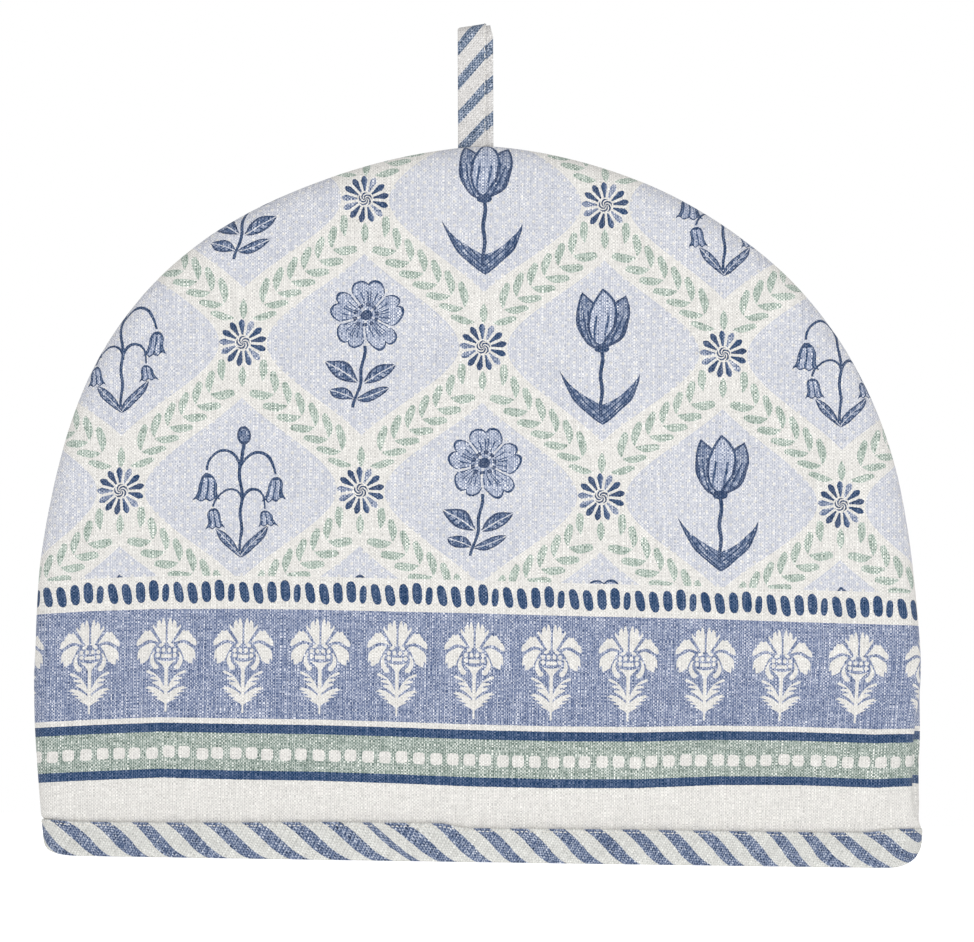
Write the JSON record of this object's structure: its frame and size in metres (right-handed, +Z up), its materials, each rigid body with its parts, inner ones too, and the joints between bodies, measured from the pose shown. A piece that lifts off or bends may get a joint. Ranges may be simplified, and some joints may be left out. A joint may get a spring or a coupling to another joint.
{
  "type": "tea cosy",
  "caption": "Padded dome-shaped tea cosy of printed cloth, open underneath, with a striped bias binding over the hem and a folded striped hanging loop at the crown.",
  "frame": {"origin": "on the surface that the hem rests on, under the middle of the cosy", "axes": "+X along the side-to-side seam line and the cosy's width, +Y from the front panel towards the back panel, +Z up from the hem to the hanging loop"},
  "size_m": [0.3426, 0.0862, 0.3222],
  "materials": {
    "printed_cloth": "slubby plain-weave cotton and linen over wadding, printed in lavender, cream, sage green and navy with flower and leaf borders",
    "striped_strip": "cream plain weave with blue stripes, cut on the bias so that the stripes run diagonally"
  },
  "bodies": {
    "root": {"front_panel": "printed_cloth", "back_panel": "printed_cloth", "hem_binding": "striped_strip", "hanging_loop": "striped_strip"}
  },
  "joints": []
}
